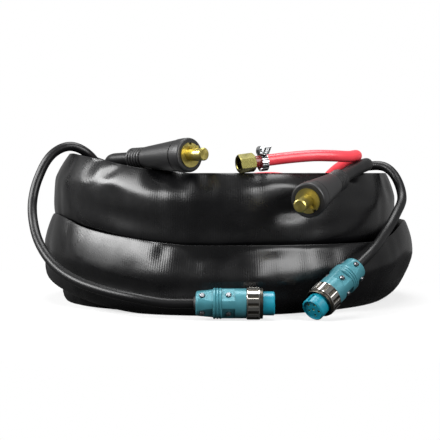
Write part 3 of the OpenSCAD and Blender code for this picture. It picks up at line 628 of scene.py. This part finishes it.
# The left connector lies level on the floor on its ring. The right one leans from its
# cable down to the floor, on the rim of its nose.
CONNECTOR_LENGTH = 78.0
RING_RADIUS = 16.0
NOSE_RADIUS = 11.85
FLOOR_GAP = 0.1
CONNECTOR_LEFT = ((-31.4, -COIL_RADIUS - 30.5, RING_RADIUS + FLOOR_GAP), (1, 0, 0))
RIGHT_WAY = Vector((-0.609, -0.622, -0.491)).normalized()
RIGHT_FACE = beside(-71.3, 55.2, NOSE_RADIUS * RIGHT_WAY.xy.length + FLOOR_GAP)
CONNECTOR_RIGHT = (RIGHT_FACE - CONNECTOR_LENGTH * RIGHT_WAY, RIGHT_WAY)

CONTROL_ROUTES = {
    "left": (left_end, left_out, CONNECTOR_LEFT, [
        (-128, 95, 28), (-143, 68, 46), (-148.5, 40, 68), (-149, 14, 92), (-147, -12, 115),
        (-146, -37, 146), (-158, -54, 166.5), (-178, -61, 175), (-198, -66, 165),
        (-212, -72, 139), (-217, -82, 112), (-212, -102, 86), (-200, -129, 65),
        (-181, -158, 47), (-157, -187, 35), (-127, -212, 27), (-93, -228, 21)]),
    "right": (right_end, right_out, CONNECTOR_RIGHT, [
        (129, 50, 96), (139, 26, 103), (143, 2, 117), (141, -20, 132.5), (148, -38, 148),
        (162, -52, 153), (178, -60, 151.5), (189, -70, 139), (193, -87, 118),
        (184, -111, 102), (170, -137, 84)])}

control_pvc = black_rubber("cable_pvc", "070708", "101011", 3.0, 0.36, 0.3)
for side, (end, out, place, points) in CONTROL_ROUTES.items():
    route = full_route(end, out, CONTROL_SEAT, points, place, CONTROL_RUN_IN, CONTROL_DEPTH)
    cable = line_curve(f"control_line_{side}", route, CONTROL_DIAMETER)
    cable.data.materials.append(control_pvc)
    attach(cable, "root")
    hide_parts(f"control_cable_{side}")

# ---- Gas hoses ----
# Shielding-gas hose: red PVC, 12 mm across, on a barbed brass tail. The right
# one arches over the rim, and the left one lies inside the coil.

HOSE_DIAMETER = 12.0
HOSE_SEAT = 52.4
HOSE_RUN_IN = 26
HOSE_DEPTH = 0
GAS_LEFT = (beside(-50, -78, RIM_Z - 18), (0.166, 0.94, -0.3))
GAS_RIGHT = (beside(-81.4, -19.8, RIM_Z + 11.3), (-0.915, -0.37, -0.12))
GAS_ROUTES = {
    "left": (left_end, left_out, GAS_LEFT, [
        (-117, 72, 59), (-114, 40, 66), (-113, 8, 74), (-109, -26, 82), (-99, -60, 92),
        (-79, -92, 104), (-50, -118, 117), (-18, -133, 129), (13, -140, 137), (41, -139, 140),
        (63, -131, 138.5)]),
    "right": (right_end, right_out, GAS_RIGHT, [
        (121, 48, 127), (119, 20, 129), (116, -8, 132), (115, -34, 139), (123, -58, 149),
        (134, -80, 157.5), (139, -103, 162), (138, -124, 163.8), (128, -141, 162.5),
        (110, -154, 163), (88, -162, 163)])}


def arm_from(tree, place):
    """Each surface point, its arm from a fitting's place, and the way the fitting faces."""
    solid = add(tree, "TexCoord").outputs["Object"]
    arm = add(tree, "VectorMath", {0: solid, 1: tuple(to_row(place[0]))},
              operation="SUBTRACT").outputs[0]
    return solid, arm, tuple(Vector(place[1]).normalized())


def red_pvc(name, place):
    """Extruded red PVC: glossy, a little clouded. Between band and nut it is darkened with painted
    shade, in dark rings 2 mm apart."""
    ring_pitch = 2 * MM
    material, tree, shader = new_material(name, Roughness=0.34, IOR=1.5)
    solid, arm, way = arm_from(tree, place)
    cloud = add(tree, "TexNoise", {"Vector": solid, "Scale": 1 / (14 * MM), "Detail": 3.0,
                                   "Roughness": 0.5}).outputs["Fac"]
    red = add(tree, "MixRGB", {"Fac": cloud, "Color1": linear("d02c38"),
                               "Color2": linear("ea4e58")}).outputs["Color"]
    along = add(tree, "VectorMath", {0: arm, 1: way}, operation="DOT_PRODUCT").outputs["Value"]
    away = add(tree, "VectorMath", {0: arm}, operation="LENGTH").outputs["Value"]
    past_band = add(tree, "MapRange", {"Value": along, "From Min": -6.5 * MM,
                                       "From Max": -5.5 * MM}).outputs["Result"]
    close = add(tree, "MapRange", {"Value": away, "From Min": 10 * MM, "From Max": 12 * MM,
                                   "To Min": 1.0, "To Max": 0.0}).outputs["Result"]
    # painted shade: the stretch between band and nut, close to the hose, is painted dark red in
    # rings
    painted_shade_stretch = add(tree, "Math", {0: past_band, 1: close}, operation="MULTIPLY").outputs["Value"]
    turn = add(tree, "Math", {0: along, 1: 2 * math.pi / ring_pitch}, operation="MULTIPLY")
    wave = add(tree, "Math", {0: turn.outputs["Value"]}, operation="SINE").outputs["Value"]
    rings = add(tree, "MapRange", {"Value": wave, "From Min": -1.0}).outputs["Result"]
    dark = add(tree, "MixRGB", {"Fac": rings, "Color1": linear("4a1514"),
                                "Color2": linear("8e322c")}).outputs["Color"]
    tone = add(tree, "MixRGB", {"Fac": painted_shade_stretch, "Color1": red, "Color2": dark}).outputs["Color"]
    fine = add(tree, "TexNoise", {"Vector": solid, "Scale": 1 / (2 * MM), "Detail": 3.0})
    height = add(tree, "Math", {0: painted_shade_stretch, 1: rings, 2: fine.outputs["Fac"]},
                 operation="MULTIPLY_ADD").outputs["Value"]
    bump = add(tree, "Bump", {"Height": height, "Strength": 0.12, "Distance": 0.3 * MM})
    feed(tree, shader, Base_Color=tone, Normal=bump.outputs["Normal"])
    return material


for side, (end, out, place, points) in GAS_ROUTES.items():
    route = full_route(end, out, HOSE_SEAT, points, place, HOSE_RUN_IN, HOSE_DEPTH)
    hose = line_curve(f"gas_line_{side}", route, HOSE_DIAMETER)
    hose.data.materials.append(red_pvc(f"hose_pvc_{side}", place))
    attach(hose, "root")
    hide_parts(f"gas_hose_{side}")

# ---- Power plugs ----
# The sleeve is a moulded rubber shell with a ribbed neck. The contact is turned
# from brass bar: a flange with its keyway, and a pin with a bayonet lug.


def dress(node, material):
    """Gives a CAD node its finish."""
    nodes[node].data.materials.clear()
    nodes[node].data.materials.append(material)


def turned_brass(name, place, light="dccd7c", dark="b0a052", roughness=0.28):
    """Turned brass, or copper by its colours: tool rings draw its gleam out across them,
    under a thin tarnish. The rings are drawn 0.8 mm apart, coarser than the real ones."""
    ring_pitch = 0.8 * MM
    material, tree, shader = new_material(name, Metallic=1.0, Anisotropic=0.4)
    solid, arm, way = arm_from(tree, place)
    tarnish = add(tree, "TexNoise", {"Vector": solid, "Scale": 1 / (9 * MM), "Detail": 3.0,
                                     "Roughness": 0.5}).outputs["Fac"]
    shade = add(tree, "MapRange", {"Value": tarnish, "From Min": 0.4, "From Max": 0.75})
    tone = add(tree, "MixRGB", {"Fac": shade.outputs["Result"], "Color1": linear(light),
                                "Color2": linear(dark)}).outputs["Color"]
    gloss = add(tree, "MapRange", {"Value": tarnish, "From Min": 0.4, "From Max": 0.75,
                                   "To Min": roughness, "To Max": roughness + 0.08})
    side = add(tree, "VectorMath", {0: arm, 1: way}, operation="CROSS_PRODUCT").outputs[0]
    round_way = add(tree, "VectorMath", {0: side}, operation="NORMALIZE").outputs[0]
    reach = add(tree, "VectorMath", {0: side}, operation="LENGTH").outputs["Value"]
    along = add(tree, "VectorMath", {0: arm, 1: way}, operation="DOT_PRODUCT").outputs["Value"]
    sweep = add(tree, "Math", {0: reach, 1: along}, operation="ADD").outputs["Value"]
    rings = add(tree, "Math", {0: sweep, 1: 2 * math.pi / ring_pitch}, operation="MULTIPLY")
    wave = add(tree, "Math", {0: rings.outputs["Value"]}, operation="SINE").outputs["Value"]
    bump = add(tree, "Bump", {"Height": wave, "Strength": 0.03, "Distance": 0.04 * MM})
    feed(tree, shader, Base_Color=tone, Roughness=gloss.outputs["Result"], Tangent=round_way,
         Normal=bump.outputs["Normal"])
    return material


def mottled_steel(name, code, roughness):
    """Blackened or zinc-plated steel: its tone and gloss vary in a light mottle, drawn
    2.5 mm wide, coarser than the real one."""
    material, tree, shader = new_material(name, Metallic=1.0)
    solid = add(tree, "TexCoord").outputs["Object"]
    spots = add(tree, "TexNoise", {"Vector": solid, "Scale": 1 / (2.5 * MM), "Detail": 4.0})
    gloss = add(tree, "MapRange", {"Value": spots.outputs["Fac"], "To Min": roughness - 0.08,
                                   "To Max": roughness + 0.12})
    tone = add(tree, "MixRGB", {"Fac": spots.outputs["Fac"], "Color1": linear(code),
                                "Color2": [c * 0.8 for c in linear(code)[:3]] + [1.0]})
    feed(tree, shader, Base_Color=tone.outputs["Color"], Roughness=gloss.outputs["Result"])
    return material


# The sleeve's rubber is matt black from the spark-eroded grain of its mould
sleeve_rubber = black_rubber("moulded_rubber", "0e0e0f", "1b1b1c", 0.9, 0.42)
screw_steel = mottled_steel("black_oxide_steel", "4a4a4e", 0.4)
for side, place in (("left", PLUG_LEFT), ("right", PLUG_RIGHT)):
    dress(f"plug_sleeve_{side}", sleeve_rubber)
    dress(f"plug_contact_{side}", turned_brass(f"plug_brass_{side}", place))
    dress(f"conductor_ferrule_{side}",
          turned_brass(f"ferrule_copper_{side}", place, "c98a63", "9c6040", 0.35))
    dress(f"plug_screws_{side}", screw_steel)

# ---- Control connectors ----
# Die-cast shells in teal enamel, held by small zinc screws in their flats. The
# coupling ring is fluted, plated metal, and the insert is moulded teal nylon.


def teal_enamel():
    """Stoved enamel on die-cast zinc: teal and smooth, its gloss dulled by a slight
    orange peel, 1.6 mm wide."""
    material, tree, shader = new_material("teal_enamel", Metallic=0.3, Coat_Weight=0.2,
                                          Coat_Roughness=0.18)
    solid = add(tree, "TexCoord").outputs["Object"]
    peel = add(tree, "TexNoise", {"Vector": solid, "Scale": 1 / (1.6 * MM), "Detail": 3.0})
    cloud = add(tree, "TexNoise", {"Vector": solid, "Scale": 1 / (9 * MM), "Detail": 3.0})
    tone = add(tree, "MixRGB", {"Fac": cloud.outputs["Fac"], "Color1": linear("2c636c"),
                                "Color2": linear("428490")})
    gloss = add(tree, "MapRange", {"Value": peel.outputs["Fac"], "To Min": 0.34, "To Max": 0.5})
    bump = add(tree, "Bump", {"Height": peel.outputs["Fac"], "Strength": 0.2,
                              "Distance": 0.15 * MM})
    feed(tree, shader, Base_Color=tone.outputs["Color"], Roughness=gloss.outputs["Result"],
         Normal=bump.outputs["Normal"])
    return material


def plating_with_painted_highlights(name, place):
    """Dark nickel plating with painted highlights: the crests of the flutes are painted pale and
    glossier, picked out by their distance from the axis.
    Its grain is drawn 1.2 mm wide, coarser than the real one."""
    material, tree, shader = new_material(name, Metallic=1.0)
    solid, arm, way = arm_from(tree, place)
    side = add(tree, "VectorMath", {0: arm, 1: way}, operation="CROSS_PRODUCT").outputs[0]
    reach = add(tree, "VectorMath", {0: side}, operation="LENGTH").outputs["Value"]
    # painted highlight: the flutes' crests are painted pale and glossy, and the rest of the ring
    # dark
    wear_and_painted_highlight = add(tree, "MapRange", {"Value": reach, "From Min": (RING_RADIUS - 0.7) * MM,
                                  "From Max": (RING_RADIUS - 0.05) * MM}).outputs["Result"]
    tone = add(tree, "MixRGB", {"Fac": wear_and_painted_highlight, "Color1": linear("4a4740"),
                                "Color2": linear("b5b3ad")})
    gloss = add(tree, "MapRange", {"Value": wear_and_painted_highlight, "To Min": 0.34, "To Max": 0.14})
    grain = add(tree, "TexNoise", {"Vector": solid, "Scale": 1 / (1.2 * MM), "Detail": 3.0})
    bump = add(tree, "Bump", {"Height": grain.outputs["Fac"], "Strength": 0.1,
                              "Distance": 0.08 * MM})
    feed(tree, shader, Base_Color=tone.outputs["Color"], Roughness=gloss.outputs["Result"],
         Normal=bump.outputs["Normal"])
    return material


def moulded_nylon():
    """Injection-moulded nylon: deep teal, smooth, with a waxy gloss."""
    material, tree, shader = new_material("moulded_nylon", IOR=1.53)
    solid = add(tree, "TexCoord").outputs["Object"]
    flow = add(tree, "TexNoise", {"Vector": solid, "Scale": 1 / (7 * MM), "Detail": 2.0})
    tone = add(tree, "MixRGB", {"Fac": flow.outputs["Fac"], "Color1": linear("0b687c"),
                                "Color2": linear("128396")})
    gloss = add(tree, "MapRange", {"Value": flow.outputs["Fac"], "To Min": 0.22, "To Max": 0.4})
    feed(tree, shader, Base_Color=tone.outputs["Color"], Roughness=gloss.outputs["Result"])
    return material


enamel = teal_enamel()
nylon = moulded_nylon()
grommet_rubber = black_rubber("grommet_rubber", "161617", "212123", 1.2, 0.6)
screw_zinc = mottled_steel("screw_zinc", "8c8e92", 0.3)
for side, place in (("left", CONNECTOR_LEFT), ("right", CONNECTOR_RIGHT)):
    for piece in ("backshell", "lock_ring", "front_shell"):
        dress(f"{piece}_{side}", enamel)
    dress(f"cable_grommet_{side}", grommet_rubber)
    dress(f"coupling_ring_{side}", plating_with_painted_highlights(f"ring_plating_{side}", place))
    dress(f"contact_insert_{side}", nylon)
    dress(f"contact_pins_{side}", turned_brass(f"contact_brass_{side}", place))
    dress(f"shell_screws_{side}", screw_zinc)

# ---- Gas fittings ----
# A barbed brass tail in the hose, a hexagon union nut that turns on it, and a
# slotted steel band that a worm screw in a pressed housing draws tight.


def slotted_band(name, place):
    """Rolled stainless band: bright, with the worm's slots punched across it and painted dark grey
    as painted shade. They are drawn 3.4 mm apart, coarser than the real ones, so that they show."""
    slots_round = 16
    material, tree, shader = new_material(name, Metallic=1.0, Roughness=0.3)
    _, arm, way = arm_from(tree, place)
    side = add(tree, "VectorMath", {0: arm, 1: way}, operation="CROSS_PRODUCT").outputs[0]
    round_way = add(tree, "VectorMath", {0: side}, operation="NORMALIZE").outputs[0]
    level = Vector(way).cross(UP).normalized()
    parts = [add(tree, "VectorMath", {0: round_way, 1: tuple(line)},
                 operation="DOT_PRODUCT").outputs["Value"]
             for line in (level, level.cross(Vector(way)))]
    angle = add(tree, "Math", {0: parts[0], 1: parts[1]}, operation="ARCTAN2").outputs["Value"]
    beat = add(tree, "Math", {0: angle, 1: slots_round}, operation="MULTIPLY").outputs["Value"]
    wave = add(tree, "Math", {0: beat}, operation="SINE").outputs["Value"]
    slot = add(tree, "MapRange", {"Value": wave, "From Min": 0.1, "From Max": 0.5}).outputs["Result"]
    # painted shade: the slots are painted dark grey
    tone = add(tree, "MixRGB", {"Fac": slot, "Color1": linear("c9cbcc"),
                                "Color2": linear("333436")}).outputs["Color"]
    bump = add(tree, "Bump", {"Height": slot, "Strength": 0.5, "Distance": 0.3 * MM}, invert=True)
    feed(tree, shader, Base_Color=tone, Normal=bump.outputs["Normal"])
    return material


bright_zinc = mottled_steel("bright_zinc", "d6d8d9", 0.22)
for side, place in (("left", GAS_LEFT), ("right", GAS_RIGHT)):
    dress(f"hose_tail_{side}", turned_brass(f"tail_brass_{side}", place, "b9aa5c", "837536", 0.3))
    dress(f"union_nut_{side}", turned_brass(f"nut_brass_{side}", place, "726d40", "504c28", 0.26))
    dress(f"clamp_band_{side}", slotted_band(f"band_steel_{side}", place))
    dress(f"clamp_housing_{side}", bright_zinc)
    dress(f"clamp_screw_{side}", bright_zinc)

# ---- Floor and light ----
# A pale floor under an even white surround. A soft box high on the left draws the
# bright bands on the sheath's slopes, a weaker one stands right of the front, and a
# third hangs above. Here sizes and places are in metres.

FLOOR_RADIUS = 0.9
FLOOR_CORNERS = 48
FLOOR_DROP = 0.0002


def pale_floor():
    """Matt pale paper: white where it is looked at directly, but for the soft shadow
    close to the coil. Other rays find it darker, so it lights the coil little."""
    material = bpy.data.materials.new("pale_floor")
    material.use_nodes = True
    tree = material.node_tree
    tree.nodes.clear()
    path = add(tree, "LightPath")
    tone = add(tree, "MixRGB", {"Fac": path.outputs["Is Camera Ray"], "Color1": linear("3c3c3c"),
                                "Color2": linear("dcdcdc")}).outputs["Color"]
    matt = add(tree, "BsdfDiffuse", {"Color": tone})
    glow = add(tree, "Emission", {"Color": (1, 1, 1, 1), "Strength": 1.0})
    spot = add(tree, "TexCoord").outputs["Object"]
    reach = add(tree, "VectorMath", {0: spot}, operation="LENGTH").outputs["Value"]
    plain = add(tree, "MapRange", {"Value": reach, "From Min": 0.24, "From Max": 0.5,
                                   "To Min": 0.72, "To Max": 1.0}).outputs["Result"]
    share = add(tree, "Math", {0: path.outputs["Is Camera Ray"], 1: plain}, operation="MULTIPLY")
    mix = add(tree, "MixShader", {"Fac": share.outputs["Value"], 1: matt.outputs["BSDF"],
                                  2: glow.outputs["Emission"]})
    add(tree, "OutputMaterial", {"Surface": mix.outputs["Shader"]})
    return material


floor_turns = [2 * math.pi * k / FLOOR_CORNERS for k in range(FLOOR_CORNERS)]
floor_edge = [(FLOOR_RADIUS * math.cos(t), FLOOR_RADIUS * math.sin(t), -FLOOR_DROP)
              for t in floor_turns]
floor = new_piece("floor", floor_edge, [tuple(range(FLOOR_CORNERS))])
floor.data.materials.append(pale_floor())


def white_surround():
    """An even, weak white light. Whatever looks at it directly sees plain white, and
    mirrored rays see a share of that white, which is least at the front."""
    world = bpy.data.worlds.new("surround")
    world.use_nodes = True
    sky = world.node_tree
    sky.nodes.clear()
    path = add(sky, "LightPath").outputs
    way = add(sky, "TexCoord").outputs["Generated"]
    front = add(sky, "VectorMath", {0: way, 1: (0, -1, 0)},
                operation="DOT_PRODUCT").outputs["Value"]
    tent = add(sky, "MapRange", {"Value": front, "From Min": 0.35, "From Max": 0.9,
                                 "To Min": 0.2, "To Max": 0.02},
               interpolation_type="SMOOTHSTEP").outputs["Result"]
    mirrored = add(sky, "Math", {0: path["Is Glossy Ray"], 1: tent},
                   operation="MULTIPLY").outputs["Value"]
    direct = add(sky, "Math", {0: path["Is Camera Ray"], 1: path["Is Transmission Ray"]},
                 operation="MAXIMUM").outputs["Value"]
    seen = add(sky, "Math", {0: mirrored, 1: direct}, operation="MAXIMUM").outputs["Value"]
    soft = add(sky, "Background", {"Color": linear("ffffff"), "Strength": 0.12})
    plain = add(sky, "Background", {"Color": linear("ffffff"), "Strength": 1.0})
    both = add(sky, "MixShader", {"Fac": seen, 1: soft.outputs["Background"],
                                  2: plain.outputs["Background"]})
    add(sky, "OutputWorld", {"Surface": both.outputs["Shader"]})
    return world


def soft_box(name, spot, target, width, height, watts):
    """A lamp behind a cloth of a width and height, aimed from a spot at a target."""
    lamp = bpy.data.lights.new(name, "AREA")
    lamp.shape = "RECTANGLE"
    lamp.size = width
    lamp.size_y = height
    lamp.energy = watts
    holder = bpy.data.objects.new(name, lamp)
    scene.collection.objects.link(holder)
    holder.location = spot
    way = Vector(target) - Vector(spot)
    holder.rotation_euler = way.to_track_quat("-Z", "Y").to_euler()


scene.world = white_surround()
soft_box("left_box", (-1.36, -0.52, 0.92), (0, 0, 0.08), 1.75, 0.62, 55)
soft_box("right_box", (1.00, -1.26, 0.80), (0, 0, 0.08), 1.1, 1.0, 34)
soft_box("top_box", (0.1, 0.15, 1.8), (0, 0, 0.1), 1.2, 1.0, 32)
